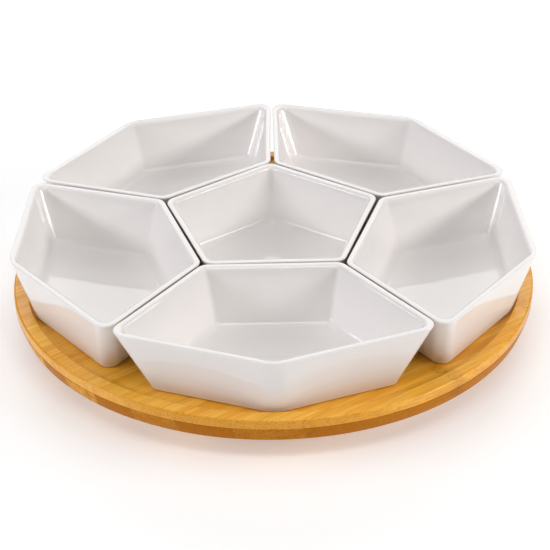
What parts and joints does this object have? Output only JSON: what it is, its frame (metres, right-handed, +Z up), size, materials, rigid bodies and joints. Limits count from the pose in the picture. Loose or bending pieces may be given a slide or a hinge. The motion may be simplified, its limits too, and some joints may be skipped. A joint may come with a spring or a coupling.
{
  "type": "chip and dip server",
  "caption": "Round two-layer bamboo turntable tray on a ball bearing, with five pentagonal porcelain dishes around a regular pentagonal centre dish.",
  "frame": {"origin": "on the turntable's axis, on the surface that the server stands on", "axes": "+Z up along the turntable's axis; the point of the front dish looks along -Y; +X to the right seen from the front"},
  "size_m": [0.343, 0.3441, 0.0757],
  "materials": {
    "light_bamboo": "satin oiled bamboo, light layer",
    "dark_bamboo": "satin oiled bamboo, carbonised layer",
    "base_bamboo": "satin oiled bamboo",
    "white_porcelain": "glossy white glaze",
    "turned_aluminium": "turned, satin",
    "ball_steel": "polished",
    "screw_steel": "zinc plated",
    "cage_nylon": "moulded nylon",
    "foot_rubber": "soft matt silicone rubber"
  },
  "bodies": {
    "base": {"turntable_base": "base_bamboo", "bearing_outer_ring": "turned_aluminium", "foot_pad_1": "foot_rubber", "foot_pad_2": "foot_rubber", "foot_pad_3": "foot_rubber", "foot_pad_4": "foot_rubber", "base_screw_1": "screw_steel", "base_screw_2": "screw_steel", "base_screw_3": "screw_steel", "base_screw_4": "screw_steel"},
    "ball_cage": {"ball_cage": "cage_nylon", "bearing_ball_01": "ball_steel", "bearing_ball_02": "ball_steel", "bearing_ball_03": "ball_steel", "bearing_ball_04": "ball_steel", "bearing_ball_05": "ball_steel", "bearing_ball_06": "ball_steel", "bearing_ball_07": "ball_steel", "bearing_ball_08": "ball_steel", "bearing_ball_09": "ball_steel", "bearing_ball_10": "ball_steel", "bearing_ball_11": "ball_steel", "bearing_ball_12": "ball_steel"},
    "tray": {"tray_lower_layer": "dark_bamboo", "tray_upper_layer": "light_bamboo", "bearing_inner_ring": "turned_aluminium", "tray_screw_1": "screw_steel", "tray_screw_2": "screw_steel", "tray_screw_3": "screw_steel", "tray_screw_4": "screw_steel"},
    "dish_back_left": {"dish_back_left": "white_porcelain"},
    "dish_left": {"dish_left": "white_porcelain"},
    "dish_front": {"dish_front": "white_porcelain"},
    "dish_right": {"dish_right": "white_porcelain"},
    "dish_back_right": {"dish_back_right": "white_porcelain"},
    "dish_centre": {"dish_centre": "white_porcelain"}
  },
  "joints": [
    {"name": "tray_spin", "type": "hinge", "parent": "base", "child": "tray", "pos_m": [0, 0, 0.0145], "axis": [0, 0, 1], "continuous": true},
    {"name": "cage_spin", "type": "hinge", "parent": "base", "child": "ball_cage", "pos_m": [0, 0, 0.0145], "axis": [0, 0, 1], "continuous": true},
    {"name": "dish_back_left_lift", "type": "slide", "parent": "tray", "child": "dish_back_left", "axis": [0, 0, 1], "range_m": [0, 0.06]},
    {"name": "dish_left_lift", "type": "slide", "parent": "tray", "child": "dish_left", "axis": [0, 0, 1], "range_m": [0, 0.06]},
    {"name": "dish_front_lift", "type": "slide", "parent": "tray", "child": "dish_front", "axis": [0, 0, 1], "range_m": [0, 0.06]},
    {"name": "dish_right_lift", "type": "slide", "parent": "tray", "child": "dish_right", "axis": [0, 0, 1], "range_m": [0, 0.06]},
    {"name": "dish_back_right_lift", "type": "slide", "parent": "tray", "child": "dish_back_right", "axis": [0, 0, 1], "range_m": [0, 0.06]},
    {"name": "dish_centre_lift", "type": "slide", "parent": "tray", "child": "dish_centre", "axis": [0, 0, 1], "range_m": [0, 0.06]}
  ],
  "couplings": [
    {"joint": "cage_spin", "follows": "tray_spin", "ratio": 0.4832}
  ]
}
